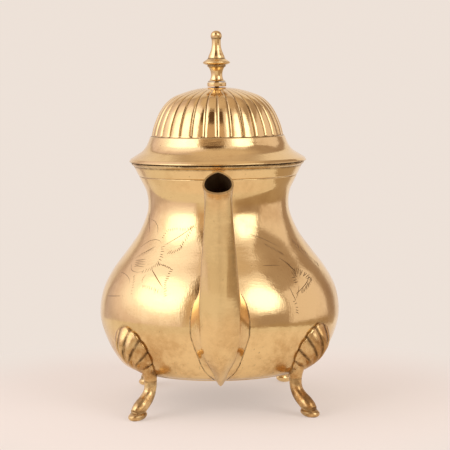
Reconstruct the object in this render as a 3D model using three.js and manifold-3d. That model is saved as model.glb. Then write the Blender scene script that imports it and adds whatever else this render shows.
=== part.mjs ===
// A footed brass pot with a hinged lid, in millimetres, +Z up.
// The origin is on the pot's axis at the floor; the spout points to -Y and the handle to +Y.

import * as THREE from 'three';
import { mergeVertices } from 'three/addons/utils/BufferGeometryUtils.js';
import Module from 'manifold-3d';

const wasm = await Module();
wasm.setup();

// ---------------------------------------------------------------- driving dimensions

const gap = 0.3;                 // clearance between neighbouring pieces
const wall = 1.1;                // sheet brass of the body and spout
const reach = 106;               // axis to the spout's lip, and axis to the back of the handle

const baseZ = 22.8;              // underside of the body
const seatRadius = 46.3;         // opening in the bottom that the base plate closes
const rimZ = 149.4;              // top of the rim ring, where the lid rests

const lobes = 32;                // convex flutes round the lid's dome
const fluteDepth = 1.4;
const lidWall = 1.0;
const bezelRadius = 48.2;

const hinge = { y: 58, z: 150.5, barrel: 2.7, pin: 1.2, tongue: 3.9, width: 9.2 };
const rivet = { shank: 0.9, head: 1.9, cap: 0.8, lidTurn: 0.121, bodyTurn: 0.14 };
const rivetHole = rivet.shank + gap;

// Degrees from the spout towards the right round to each foot, and the way out to the pot's side for
// its shell. The feet are set by hand, so not quite evenly.
const feet = {
  foot_front_left: { angle: -43.5, outward: -1 },
  foot_front_right: { angle: 47.5, outward: 1 },
  foot_rear_left: { angle: -137.5, outward: 1 },
  foot_rear_right: { angle: 144, outward: -1 },
};
const shellTurn = 5.2;           // degrees that a shell sits further out to the side than its leg
const toeReach = 73;             // from the axis to the middle of a toe
const shell = { low: 26.4, high: 55.2, half: 10.8, hub: 28.5, edge: 1.5, bulge: 6.2 };

const socket = { outer: 5.4, depth: 9, tenon: 3.2, pin: 0.9 };
const upperSocket = { root: [40, 126.5], mouth: [59, 134.7] };
const lowerSocket = { root: [70.5, 52.7], mouth: [82.2, 65.7] };

const studRadius = 1.3;

const brass = new THREE.Color(0xc8a05a);
const darkBrass = new THREE.Color(0x9a7434);

// ---------------------------------------------------------------- solids

// Welds a geometry's shared corners, drops collapsed triangles and turns its faces outwards.
function weld(geometry) {
  const bare = geometry.index ? geometry.toNonIndexed() : geometry.clone();
  for (const name of Object.keys(bare.attributes)) {
    if (name !== 'position') bare.deleteAttribute(name);
  }
  const merged = mergeVertices(bare, 1e-4);
  const points = merged.attributes.position;
  const corner = i => new THREE.Vector3().fromBufferAttribute(points, i);
  const triangles = [];
  let volume = 0;
  for (let i = 0; i < merged.index.count; i += 3) {
    const [a, b, c] = [0, 1, 2].map(k => merged.index.getX(i + k));
    if (a === b || b === c || c === a) continue;
    triangles.push([a, b, c]);
    volume += corner(a).dot(corner(b).cross(corner(c)));
  }
  merged.setIndex((volume < 0 ? triangles.map(t => t.reverse()) : triangles).flat());
  return merged;
}

function solid(geometry) {
  const welded = weld(geometry);
  return new wasm.Manifold(new wasm.Mesh({
    numProp: 3,
    vertProperties: new Float32Array(welded.attributes.position.array),
    triVerts: new Uint32Array(welded.index.array),
  }));
}

function surface(manifold) {
  const mesh = manifold.getMesh();
  const geometry = new THREE.BufferGeometry();
  geometry.setAttribute('position', new THREE.BufferAttribute(mesh.vertProperties, 3));
  geometry.setIndex(new THREE.BufferAttribute(mesh.triVerts, 1));
  return geometry;
}

// Skins a row of equal rings; the ends are closed with fans, or joined when the row is a loop.
function loft(rings, loop = false) {
  const sides = rings[0].length;
  const points = rings.flat();
  const index = [];
  const rows = loop ? rings.length : rings.length - 1;
  for (let i = 0; i < rows; i++) {
    const next = (i + 1) % rings.length;
    for (let j = 0; j < sides; j++) {
      const k = (j + 1) % sides;
      const [a, b, c, d] = [i * sides + j, i * sides + k, next * sides + k, next * sides + j];
      index.push(a, b, c, a, c, d);
    }
  }
  if (!loop) {
    for (const row of [0, rings.length - 1]) {
      const centre = new THREE.Vector3();
      rings[row].forEach(p => centre.addScaledVector(p, 1 / sides));
      points.push(centre);
      for (let j = 0; j < sides; j++) {
        const edge = [row * sides + j, row * sides + (j + 1) % sides];
        index.push(points.length - 1, ...(row ? edge : edge.reverse()));
      }
    }
  }
  return new THREE.BufferGeometry().setFromPoints(points).setIndex(index);
}

// A profile of [radius, height] pairs turned about Z.
function turned(profile, segments) {
  const points = profile.map(([r, z]) => new THREE.Vector2(r, z));
  return new THREE.LatheGeometry(points, segments).rotateX(Math.PI / 2);
}

const ringProfile = (inner, outer, low, high) =>
  [[inner, low], [outer, low], [outer, high], [inner, high], [inner, low]];

// An outline of [y, z] pairs, extruded along X between two planes.
function slab(outline, from, to) {
  const shape = new THREE.Shape(outline.map(([y, z]) => new THREE.Vector2(y, z)));
  const geometry = new THREE.ExtrudeGeometry(shape, { depth: to - from, bevelEnabled: false });
  const axes = new THREE.Matrix4().set(0, 0, 1, from, 1, 0, 0, 0, 0, 1, 0, 0, 0, 0, 0, 1);
  return geometry.applyMatrix4(axes);
}

// A rod along X, centred on a point of the YZ plane.
const rodX = (radius, from, to, y, z, sides = 16) =>
  new THREE.CylinderGeometry(radius, radius, to - from, sides)
    .rotateZ(Math.PI / 2).translate((from + to) / 2, y, z);

// ---------------------------------------------------------------- outlines

const bodyOutline = new THREE.SplineCurve([
  [53.5, 23.3], [58.9, 25.3], [63.2, 29.3], [68.4, 38], [72.9, 50], [73.9, 60], [71.4, 72.5],
  [65.3, 84.2], [57.1, 95], [49.3, 106], [44.4, 117], [43.3, 124.5], [44.3, 131.8],
  [47.4, 138.5], [51.7, 147.4],
].map(([r, z]) => new THREE.Vector2(r, z)));

const lidOutline = new THREE.SplineCurve([
  [6, 194.8], [14.4, 193.5], [25.4, 189.9], [31.1, 185.9], [34.8, 181.1], [37.3, 176.1],
  [39.2, 171.1], [40.4, 166.3],
].map(([r, z]) => new THREE.Vector2(r, z)));

const brimOutline = new THREE.SplineCurve([
  [41.3, 164.6], [42.5, 162], [43.6, 159.6], [45.9, 156.7], [49.5, 154.2], [54.1, 151.3],
].map(([r, z]) => new THREE.Vector2(r, z)));

// A point of an outline moved sideways: a positive offset is to the right of the outline's run.
function offsetPoint(outline, t, offset) {
  const point = outline.getPoint(t);
  const along = outline.getTangent(t);
  return [point.x + along.y * offset, point.y - along.x * offset];
}

function offsetRow(outline, steps, offset) {
  return Array.from({ length: steps + 1 }, (_, i) => offsetPoint(outline, i / steps, offset));
}

// Where the body's outline is at a given height.
function bodyAt(height) {
  let [low, high] = [0, 1];
  for (let i = 0; i < 30; i++) {
    const middle = (low + high) / 2;
    if (bodyOutline.getPoint(middle).y < height) low = middle;
    else high = middle;
  }
  return low;
}

// ---------------------------------------------------------------- the pot's body

// The space that a piece soldered to the outside of the body keeps clear of.
const bodyEnvelope = solid(turned([
  [0, baseZ - gap], [54, baseZ - gap], ...offsetRow(bodyOutline, 20, gap), [0, 148],
], 48));

// Three columns of strainer holes through the wall behind the spout.
function strainerHoles() {
  const drills = [];
  for (let row = 0; row < 4; row++) {
    const columns = row % 2 ? [-3.5, 3.5] : [-7, 0, 7];
    for (const x of columns) {
      drills.push(new THREE.CylinderGeometry(2, 2, 30, 8).translate(x, -70, 48 + 7 * row));
    }
  }
  return drills.map(solid);
}

// Where a hinge rivet sits: its turn round the pot, then its place and tilt in the YZ plane.
function lidRivetPlace(side, lift) {
  const t = 0.88;
  const [y, z] = offsetPoint(brimOutline, t, lift);
  const along = brimOutline.getTangent(t);
  return { turn: -side * rivet.lidTurn, y, z, tilt: Math.atan2(along.x, -along.y) };
}

function bodyRivetPlace(side, lift) {
  const t = bodyAt(139);
  const [y, z] = offsetPoint(bodyOutline, t, lift);
  const along = bodyOutline.getTangent(t);
  return { turn: -side * rivet.bodyTurn, y, z, tilt: Math.atan2(-along.x, along.y) };
}

// A drill for a rivet: a rod through the sheet along the sheet's normal.
function rivetDrill(place) {
  return solid(new THREE.CylinderGeometry(rivetHole, rivetHole, 14, 10)
    .rotateX(place.tilt).translate(0, place.y, place.z).rotateZ(place.turn));
}

function bodyShell() {
  const profile = [
    [seatRadius, baseZ], [52.9, baseZ], ...offsetRow(bodyOutline, 15, 0),
    ...offsetRow(bodyOutline, 10, -wall).reverse(), [52.2, baseZ + wall], [seatRadius, baseZ + wall],
    [seatRadius, baseZ],
  ];
  let body = solid(turned(profile, 36));
  for (const drill of strainerHoles()) body = body.subtract(drill);
  for (const side of [-1, 1]) body = body.subtract(rivetDrill(bodyRivetPlace(side, 0)));
  return surface(body);
}

const basePlate = () =>
  turned([[0, baseZ], [seatRadius - gap, baseZ], [seatRadius - gap, baseZ + 1.2], [0, baseZ + 1.2]], 40);

const rimRing = () => turned([
  [50.6, 148.2], [52.6, 148.2], [53, 148.6], [53, 149.1], [52.7, rimZ], [50.6, rimZ], [50.6, 148.2],
], 36);

// ---------------------------------------------------------------- spout

// Half of a section, from the middle of the front to the middle of the back, as
// [share of the half width, share of the depth]: round at the lip, keeled along the tube.
const roundHalf = [[0, 0], [0.5, 0.05], [0.82, 0.17], [1, 0.42], [0.93, 0.6], [0.72, 0.77], [0.44, 0.9],
  [0.2, 0.97], [0, 1]];
const keelHalf = [[0, 0], [0.6, 0.02], [0.93, 0.06], [1, 0.14], [0.99, 0.38], [0.86, 0.62], [0.56, 0.83],
  [0.25, 0.95], [0, 1]];

// Stations from the low tip to the lip. Each has its front and back as [distance from the axis,
// height], its half width in front, its half width at the back where it spreads over the body,
// how far it has closed to a keeled tube, and how round its front is.
const stations = [
  { front: [62.5, 21.6], back: [50, 27], half: 1.4, spread: 6, keel: 0, round: 0 },
  { front: [70.5, 29.3], back: [52, 34], half: 4, spread: 13, keel: 0, round: 0 },
  { front: [77.3, 38], back: [54, 43], half: 8.6, spread: 17, keel: 0, round: 0 },
  { front: [82.5, 48.5], back: [56, 52], half: 11.3, spread: 21.5, keel: 0, round: 0 },
  { front: [87.5, 63], back: [58, 62], half: 11.6, spread: 21.5, keel: 0, round: 0 },
  { front: [89.4, 76], back: [60.5, 73], half: 11.6, spread: 16.5, keel: 0.15, round: 0 },
  { front: [89.8, 88], back: [67.5, 84.5], half: 10.8, spread: 11, keel: 0.75, round: 0 },
  { front: [90.2, 100], back: [72.8, 98], half: 9.9, spread: 9, keel: 1, round: 0 },
  { front: [91.8, 112], back: [76.4, 111.5], half: 8.8, spread: 8, keel: 1, round: 0 },
  { front: [95.3, 124.5], back: [80.6, 127.5], half: 8, spread: 8, keel: 1, round: 0.2 },
  { front: [99.8, 132], back: [85.5, 139.5], half: 7.8, spread: 8, keel: 1, round: 0.7 },
  { front: [reach, 137.2], back: [93.6, 149.2], half: 8.7, spread: 8, keel: 1, round: 1 },
];

// One section of the spout, as points of its own plane: x sideways, y from front to back.
function spoutSection(station) {
  const depth = Math.hypot(station.front[0] - station.back[0], station.front[1] - station.back[1]);
  const half = keelHalf.map(([width, deep], i) => {
    const share = THREE.MathUtils.lerp(deep, roundHalf[i][1], station.round);
    const tube = THREE.MathUtils.lerp(width, roundHalf[i][0], station.round) * station.half;
    const skirt = i < 4 ? tube : THREE.MathUtils.lerp(station.half, station.spread, Math.min(1, deep + 0.05));
    const across = i === 8 ? 0 : THREE.MathUtils.lerp(skirt, tube, station.keel);
    return new THREE.Vector2(across, share * depth);
  });
  const mirrored = half.slice(1, -1).reverse().map(p => new THREE.Vector2(-p.x, p.y));
  return [...half, ...mirrored];
}

// The same section made smaller by a wall's thickness.
function inset(section, thickness) {
  return section.map((point, i) => {
    const before = section[(i + section.length - 1) % section.length];
    const after = section[(i + 1) % section.length];
    const entering = point.clone().sub(before).normalize();
    const leaving = after.clone().sub(point).normalize();
    const along = entering.clone().add(leaving).normalize();
    const stretch = Math.max(0.45, along.dot(leaving));
    return new THREE.Vector2(point.x - along.y * thickness / stretch, point.y + along.x * thickness / stretch);
  });
}

function placeSection(section, station, shift = 0) {
  const [fy, fz] = station.front;
  const back = new THREE.Vector2(station.back[0] - fy, station.back[1] - fz).normalize();
  return section.map(p => new THREE.Vector3(
    p.x,
    -(fy + back.x * p.y + back.y * shift),
    fz + back.y * p.y - back.x * shift,
  ));
}

function spout() {
  const outer = solid(loft(stations.map(s => placeSection(spoutSection(s), s))));
  const hollow = stations.slice(1).map(s => placeSection(inset(spoutSection(s), wall), s));
  const lip = stations[stations.length - 1];
  hollow.push(placeSection(inset(spoutSection(lip), wall), lip, 3));
  return surface(outer.subtract(solid(loft(hollow))).subtract(bodyEnvelope));
}

// ---------------------------------------------------------------- feet

// A point above the body's surface, for the foot whose plane is at -Y.
function overBody(across, height, lift) {
  const [r, z] = offsetPoint(bodyOutline, bodyAt(height), lift);
  const angle = across / r;
  return new THREE.Vector3(r * Math.sin(angle), -r * Math.cos(angle), z);
}

// The scallop shell of the knee: ribs fan out from a hub low on the shell to a scalloped edge.
function scallop() {
  const columns = 24;
  const rows = 2;
  const middle = (shell.low + shell.high) / 2;
  const tall = (shell.high - shell.low) / 2;
  const edgeDistance = angle => {
    const [sx, sy] = [Math.sin(angle) / shell.half, Math.cos(angle) / tall];
    const hub = (shell.hub - middle) / tall;
    const a = sx * sx + sy * sy;
    const b = sy * hub;
    return (-b + Math.sqrt(b * b - a * (hub * hub - 1))) / a;
  };
  const rings = [];
  const addRing = (share, lift) => {
    rings.push(Array.from({ length: columns }, (_, i) => {
      const angle = 2 * Math.PI * i / columns;
      const rib = i % 2 ? -1 : 1;
      const away = edgeDistance(angle) * share * (1 + 0.03 * rib * share);
      const thickness = lift * (1 + 0.1 * rib * share);
      return overBody(away * Math.sin(angle), shell.hub + away * Math.cos(angle), gap + thickness);
    }));
  };
  for (const share of [0.02, 1]) addRing(share, -2 * gap);
  for (let row = rows; row >= 0; row--) {
    const share = 0.02 + 0.98 * row / rows;
    addRing(share, shell.edge + shell.bulge * Math.sqrt(1 - share * share));
  }
  return loft(rings);
}

// The leg: knee, ankle and splayed toe, as [distance from the axis, height, radius].
const legRun = [
  [66, 36, 4.9], [63.5, 29.5, 4.7], [61.6, 24.5, 4.3], [60.8, 20.5, 3.8], [61, 17, 3.5],
  [62.2, 13.8, 3.5], [64.8, 10.6, 3.6], [68.4, 7.8, 3.7], [71.8, 5.4, 3.5], [74.6, 4, 2.8],
];

function leg() {
  const sides = 8;
  const rings = legRun.map(([y, z, radius], i) => {
    const [fromY, fromZ] = legRun[Math.max(0, i - 1)];
    const [toY, toZ] = legRun[Math.min(legRun.length - 1, i + 1)];
    const along = new THREE.Vector2(toY - fromY, toZ - fromZ).normalize();
    return Array.from({ length: sides }, (_, j) => {
      const turn = 2 * Math.PI * j / sides;
      const across = radius * Math.cos(turn);
      return new THREE.Vector3(radius * Math.sin(turn), -(y - along.y * across), z + along.x * across);
    });
  });
  return loft(rings);
}

// A foot stands in the plane at -Y and is turned into place as a whole.
function foot(outward) {
  const toe = new THREE.SphereGeometry(1, 10, 6).rotateX(Math.PI / 2).scale(4.5, 5.4, 3.2).translate(0, -toeReach, 2.5);
  const aboveFloor = solid(new THREE.BoxGeometry(60, 60, 80).translate(0, -68, 40));
  const knee = scallop().rotateZ(outward * THREE.MathUtils.degToRad(shellTurn));
  const casting = solid(leg()).add(solid(knee)).add(solid(toe));
  return surface(casting.subtract(bodyEnvelope).intersect(aboveFloor));
}

// ---------------------------------------------------------------- handle

const direction = ({ root, mouth }) =>
  new THREE.Vector2(mouth[0] - root[0], mouth[1] - root[1]).normalize();

// A rod in the YZ plane that starts a distance along a socket's axis, measured from its mouth.
function socketRod(place, radius, from, to, sides = 16) {
  const along = direction(place);
  const middle = (from + to) / 2;
  return new THREE.CylinderGeometry(radius, radius, to - from, sides)
    .rotateX(Math.atan2(along.y, along.x))
    .translate(0, place.mouth[0] + along.x * middle, place.mouth[1] + along.y * middle);
}

// The pin crosses the socket and the handle's tenon half way down the socket.
function pinCentre(place) {
  const along = direction(place);
  const depth = socket.depth / 2;
  return [place.mouth[0] - along.x * depth, place.mouth[1] - along.y * depth];
}

const pinRod = (place, radius, half) => rodX(radius, -half, half, ...pinCentre(place), 10);

function handleSocket(place) {
  const cup = solid(socketRod(place, socket.outer, -24, 0));
  const bore = solid(socketRod(place, socket.tenon + gap, -socket.depth, 1));
  return surface(cup.subtract(bore).subtract(bodyEnvelope).subtract(solid(pinRod(place, socket.pin + gap, 9))));
}

const handlePin = place => pinRod(place, socket.pin, socket.outer + 0.4);

// The grip swells from its ends to the middle of the hand.
function handleGrip() {
  const [up, down] = [direction(upperSocket), direction(lowerSocket)];
  const shoulder = (place, along, away) =>
    new THREE.Vector3(0, place.mouth[0] + along.x * away, place.mouth[1] + along.y * away);
  const spine = new THREE.CatmullRomCurve3([
    shoulder(upperSocket, up, gap), shoulder(upperSocket, up, 5), new THREE.Vector3(0, 80, 143.8),
    new THREE.Vector3(0, 92.5, 141), new THREE.Vector3(0, 99.9, 131.5), new THREE.Vector3(0, reach - 4.2, 117),
    new THREE.Vector3(0, 100.6, 101), new THREE.Vector3(0, 95.4, 86), shoulder(lowerSocket, down, 5),
    shoulder(lowerSocket, down, gap),
  ]);
  const steps = 22;
  const sides = 10;
  const rings = Array.from({ length: steps + 1 }, (_, i) => {
    const t = i / steps;
    const point = spine.getPointAt(t);
    const along = spine.getTangentAt(t);
    const swell = Math.sin(Math.PI * t);
    const [thick, wide] = [3.7 + 0.5 * swell, 4.1 + 1.2 * swell];
    return Array.from({ length: sides }, (_, j) => {
      const turn = 2 * Math.PI * j / sides;
      const across = thick * Math.cos(turn);
      return new THREE.Vector3(wide * Math.sin(turn), point.y - along.z * across, point.z + along.y * across);
    });
  });
  let grip = solid(loft(rings));
  for (const place of [upperSocket, lowerSocket]) {
    grip = grip.add(solid(socketRod(place, socket.tenon, gap - socket.depth, 2)));
    grip = grip.subtract(solid(pinRod(place, socket.pin + gap, 9)));
  }
  return surface(grip);
}

// ---------------------------------------------------------------- hinge

const hingeBore = () => solid(rodX(hinge.pin + gap, -20, 20, hinge.y, hinge.z));

// A strap that follows an outline, between two lifts off its surface.
function strap(outline, from, to, low, high, halfWidth) {
  const steps = 5;
  const place = (i, lift) => offsetPoint(outline, from + (to - from) * i / steps, lift);
  const profile = Array.from({ length: steps + 1 }, (_, i) => place(i, low));
  for (let i = steps; i >= 0; i--) profile.push(place(i, high));
  const band = solid(turned([...profile, profile[0]], 60));
  return band.intersect(solid(new THREE.BoxGeometry(2 * halfWidth, 40, 60).translate(0, 50, 145)));
}

function hingeBodyLeaf() {
  const arm = [[50.5, 141.5], [52.3, 145.8], [54.9, 148.2], [55.5, 150.5], [58, 150.5], [60.4, 149.4],
    [56, 142.5], [52.2, 139.8]];
  let leaf = strap(bodyOutline, bodyAt(137.3), bodyAt(146.8), gap, gap + 1.4, hinge.width);
  for (const side of [-1, 1]) {
    const [from, to] = [hinge.tongue + gap, hinge.width].map(x => x * side).sort((a, b) => a - b);
    leaf = leaf.add(solid(slab(arm, from, to))).add(solid(rodX(hinge.barrel, from, to, hinge.y, hinge.z)));
    leaf = leaf.subtract(rivetDrill(bodyRivetPlace(side, 0)));
  }
  return surface(leaf.subtract(bodyEnvelope).subtract(hingeBore()));
}

function hingeLidLeaf() {
  const tongue = [[51.5, 153.6], [51.5, 155.1], [56.2, 153.4], [59, 152.6], [58, 150.5], [55.9, 151.2],
    [54.7, 151.9]];
  let leaf = strap(brimOutline, 0.5, 0.97, -gap - 1.4, -gap, 8.7)
    .add(solid(slab(tongue, -hinge.tongue, hinge.tongue)))
    .add(solid(rodX(hinge.barrel, -hinge.tongue, hinge.tongue, hinge.y, hinge.z)));
  for (const side of [-1, 1]) leaf = leaf.subtract(rivetDrill(lidRivetPlace(side, 0)));
  return surface(leaf.subtract(hingeBore()));
}

// The pin is a rod with a peened head outside each end knuckle.
function hingePin() {
  const inside = hinge.width + gap;
  return turned([
    [0, -inside - 0.9], [1.9, -inside - 0.7], [1.9, -inside], [hinge.pin, -inside], [hinge.pin, inside],
    [1.9, inside], [1.9, inside + 0.7], [0, inside + 0.9],
  ], 16).rotateY(Math.PI / 2);
}

// A rivet along Z: the head's underside is at z = 0 and the shank runs down through the sheets.
function hingeRivet(grip) {
  return turned([
    [0, -grip - rivet.cap], [rivet.head - 0.3, -grip - rivet.cap], [rivet.head, -grip], [rivet.shank, -grip],
    [rivet.shank, 0], [rivet.head, 0], [rivet.head - 0.5, 0.6], [0, rivet.cap],
  ], 12);
}

// ---------------------------------------------------------------- lid

// The grooves between the flutes deepen from nothing under the finial.
const grooveDepth = t => fluteDepth * Math.min(1, 2 * t);

// The lid's sheet as one closed profile at a given angle round the pot; only the dome is fluted.
function lidProfile(angle) {
  const groove = 1 - Math.abs(Math.sin(lobes / 2 * angle));
  const domeRow = (steps, sink) => Array.from({ length: steps + 1 }, (_, i) => sink(i / steps));
  const dome = domeRow(6, t => {
    const [r, z] = offsetPoint(lidOutline, t, 0);
    return [r - grooveDepth(t) * groove, z];
  });
  const underDome = domeRow(3, t => offsetPoint(lidOutline, t, lidWall + grooveDepth(t)));
  const outside = [[studRadius + 0.4, 195], ...dome, ...offsetRow(brimOutline, 4, 0), [54.3, 151], [54.3, 149.7]];
  const inside = [[52.8, 149.7], ...offsetRow(brimOutline, 3, lidWall).reverse(), ...underDome.reverse(),
    [studRadius + 0.4, 193.9]];
  return [...outside, ...inside].map(([r, z]) => new THREE.Vector3(r * Math.sin(angle), -r * Math.cos(angle), z));
}

function lidDome() {
  const columns = lobes * 2;
  const rings = Array.from({ length: columns }, (_, i) => lidProfile(2 * Math.PI * i / columns));
  let lid = solid(loft(rings, true));
  for (const side of [-1, 1]) lid = lid.subtract(rivetDrill(lidRivetPlace(side, 0)));
  return surface(lid);
}

const lidBezel = () => turned(ringProfile(bezelRadius - 1, bezelRadius, 144, 153.2), 40);

function finial() {
  const outline = [
    [studRadius + gap, 198.2], [5.4, 198.2], [4.3, 198.9], [3.7, 200.3], [3.5, 202.2], [3.8, 204.4], [4.6, 206.4],
    [5.5, 207.8], [5.5, 208.4], [6.7, 208.9], [8.3, 209.7], [7.9, 211], [6.7, 211.8], [5.4, 212.3], [4.8, 214],
    [3.9, 216.1], [2.9, 218.9], [2.7, 221.4], [2.85, 224], [3.35, 225.6], [3.35, 226.9], [2.9, 228.1], [1.8, 229.1],
    [0, 229.4], [0, 206.3], [studRadius + gap, 206.3], [studRadius + gap, 198.2],
  ];
  return turned(outline, 16);
}

const finialCollar = () => turned([
  [studRadius + gap, 195.3], [5.6, 195.3], [5.9, 195.8], [5.9, 197.4], [5.6, 197.9], [studRadius + gap, 197.9],
  [studRadius + gap, 195.3],
], 20);

const finialStud = () => turned([[0, 187.5], [studRadius, 187.5], [studRadius, 206], [0, 206]], 12);
const finialWasher = () => turned(ringProfile(studRadius + gap, 4.6, 192.6, 193.5), 20);

function finialNut() {
  const hexagon = new THREE.CylinderGeometry(3.5, 3.5, 2.6, 6).rotateX(Math.PI / 2).translate(0, 0, 191);
  const hole = new THREE.CylinderGeometry(studRadius + gap, studRadius + gap, 6, 12).rotateX(Math.PI / 2)
    .translate(0, 0, 191);
  return surface(solid(hexagon).subtract(solid(hole)));
}

// ---------------------------------------------------------------- assembly

function piece(name, geometry, colour = brass, roughness = 0.22) {
  const material = new THREE.MeshStandardMaterial({ color: colour, roughness, metalness: 1 });
  const mesh = new THREE.Mesh(weld(geometry), material);
  mesh.name = name;
  return mesh;
}

// A rivet stands along the sheet's normal, in a group turned round the pot.
function placeRivet(name, place, grip) {
  const mesh = piece(name, hingeRivet(grip), darkBrass, 0.35);
  mesh.position.set(0, place.y, place.z);
  mesh.rotation.x = place.tilt - Math.PI / 2;
  const turn = new THREE.Group();
  turn.rotation.z = place.turn;
  turn.add(mesh);
  return turn;
}

const pot = new THREE.Group();
pot.add(
  piece('body_shell', bodyShell()),
  piece('base_plate', basePlate(), darkBrass, 0.4),
  piece('rim_ring', rimRing()),
  piece('spout', spout()),
);

for (const [name, { angle, outward }] of Object.entries(feet)) {
  const mesh = piece(name, foot(outward));
  mesh.rotation.z = THREE.MathUtils.degToRad(angle);
  pot.add(mesh);
}

pot.add(
  piece('handle_grip', handleGrip()),
  piece('handle_upper_socket', handleSocket(upperSocket)),
  piece('handle_lower_socket', handleSocket(lowerSocket)),
  piece('handle_upper_pin', handlePin(upperSocket), darkBrass, 0.35),
  piece('handle_lower_pin', handlePin(lowerSocket), darkBrass, 0.35),
  piece('hinge_body_leaf', hingeBodyLeaf()),
);

const pin = piece('hinge_pin', hingePin(), darkBrass, 0.35);
pin.position.set(0, hinge.y, hinge.z);
pot.add(pin);

const lid = new THREE.Group();
lid.add(
  piece('lid_dome', lidDome()),
  piece('lid_bezel', lidBezel()),
  piece('hinge_lid_leaf', hingeLidLeaf()),
  piece('finial', finial()),
  piece('finial_collar', finialCollar()),
  piece('finial_stud', finialStud(), darkBrass, 0.4),
  piece('finial_washer', finialWasher(), darkBrass, 0.4),
  piece('finial_nut', finialNut(), darkBrass, 0.4),
);

const leafStack = gap + 1.4 + gap;
for (const [side, word] of [[-1, 'left'], [1, 'right']]) {
  pot.add(placeRivet(`hinge_body_rivet_${word}`, bodyRivetPlace(side, leafStack), leafStack + wall + gap));
  lid.add(placeRivet(`hinge_lid_rivet_${word}`, lidRivetPlace(side, -leafStack), leafStack + lidWall + gap));
}

const assembly = new THREE.Group();
assembly.add(pot, lid);

export default assembly;
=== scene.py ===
import bisect
import math
import random

import bmesh
import bpy
from mathutils import Matrix, Vector, noise


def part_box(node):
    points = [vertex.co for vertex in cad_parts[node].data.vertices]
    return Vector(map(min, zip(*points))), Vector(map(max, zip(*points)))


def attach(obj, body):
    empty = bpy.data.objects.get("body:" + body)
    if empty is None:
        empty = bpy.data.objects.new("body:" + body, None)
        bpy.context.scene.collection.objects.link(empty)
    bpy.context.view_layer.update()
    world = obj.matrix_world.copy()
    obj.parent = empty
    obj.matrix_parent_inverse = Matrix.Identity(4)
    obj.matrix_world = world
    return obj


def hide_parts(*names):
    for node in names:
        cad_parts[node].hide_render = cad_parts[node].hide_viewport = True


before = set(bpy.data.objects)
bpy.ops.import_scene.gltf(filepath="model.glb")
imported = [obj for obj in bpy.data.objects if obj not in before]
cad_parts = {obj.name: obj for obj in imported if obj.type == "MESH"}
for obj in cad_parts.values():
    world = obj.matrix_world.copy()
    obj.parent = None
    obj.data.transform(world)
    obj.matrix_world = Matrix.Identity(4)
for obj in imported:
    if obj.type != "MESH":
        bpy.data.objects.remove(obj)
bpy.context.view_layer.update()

# ---------------------------------------------------------------- Camera and room
# A long lens a little above the pot, looking slightly down at the spout. The pot stands on a pale
# paper table between two large soft boxes, with a white card far round on the right.

scene = bpy.context.scene
scene.view_settings.view_transform = "Standard"

camera_data = bpy.data.cameras.new("camera")
camera_data.lens = 124
camera_data.sensor_width = 36
camera_data.clip_end = 50
camera = bpy.data.objects.new("camera", camera_data)
camera.matrix_world = (
    Matrix.Translation((0, -0.953, 0.2023))
    @ Matrix.Rotation(math.radians(-0.237), 4, "Z")
    @ Matrix.Rotation(math.radians(90 - 5.53), 4, "X")
    @ Matrix.Rotation(math.radians(-0.72), 4, "Z")
)
scene.collection.objects.link(camera)
scene.camera = camera

paper = (0.85, 0.757, 0.687)


class Nodes:
    """Adds shader nodes to one node tree; numbers and outputs can be mixed as inputs."""

    def __init__(self, tree):
        self.tree = tree

    def add(self, kind, **settings):
        node = self.tree.nodes.new(kind)
        for setting, value in settings.items():
            setattr(node, setting, value)
        return node

    def feed(self, socket, value):
        if isinstance(value, bpy.types.NodeSocket):
            self.tree.links.new(value, socket)
        else:
            socket.default_value = (*value, 1) if isinstance(value, tuple) and len(value) == 3 else value

    def sums(self, operation, *values):
        node = self.add("ShaderNodeMath", operation=operation)
        for socket, value in zip(node.inputs, values):
            self.feed(socket, value)
        return node.outputs["Value"]

    def step(self, source, start, end, low=0.0, high=1.0):
        node = self.add("ShaderNodeMapRange", interpolation_type="SMOOTHSTEP")
        for name, value in (
            ("Value", source), ("From Min", start), ("From Max", end), ("To Min", low), ("To Max", high)
        ):
            self.feed(node.inputs[name], value)
        return node.outputs["Result"]

    def blend(self, share, under, over):
        node = self.add("ShaderNodeMix", data_type="RGBA")
        self.feed(node.inputs[0], share)
        self.feed(node.inputs[6], under)
        self.feed(node.inputs[7], over)
        return node.outputs[2]

    def steps_of_colour(self, source, stops):
        node = self.add("ShaderNodeValToRGB")
        node.color_ramp.interpolation = "EASE"
        while len(node.color_ramp.elements) < len(stops):
            node.color_ramp.elements.new(0.5)
        for element, (place, colour) in zip(node.color_ramp.elements, stops):
            element.position = place
            element.color = (*colour, 1)
        self.feed(node.inputs["Fac"], source)
        return node.outputs["Color"]


world = bpy.data.worlds.new("studio")
world.use_nodes = True
scene.world = world
studio = Nodes(world.node_tree)
toward = studio.add("ShaderNodeSeparateXYZ")
studio.feed(toward.inputs["Vector"], studio.add("ShaderNodeTexCoord").outputs["Generated"])
degree = 180 / math.pi
to_front = studio.sums("MULTIPLY", toward.outputs["Y"], -1.0)
round_about = studio.sums("MULTIPLY", studio.sums("ARCTAN2", toward.outputs["X"], to_front), degree)
up_from_floor = studio.sums("MULTIPLY", studio.sums("ARCSINE", toward.outputs["Z"]), degree)


def window(left, right, low, high, side_blur, end_blur):
    """How far a direction lies inside a patch of the room, in degrees round from the front and up."""
    inside = 1.0
    sides, ends = (round_about, left, right, side_blur), (up_from_floor, low, high, end_blur)
    for value, first, last, blur in (sides, ends):
        for edge, turned in ((first, 1), (last, -1)):
            rise = studio.step(value, edge - blur * turned, edge + blur * turned)
            inside = studio.sums("MULTIPLY", inside, rise)
    return inside


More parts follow.
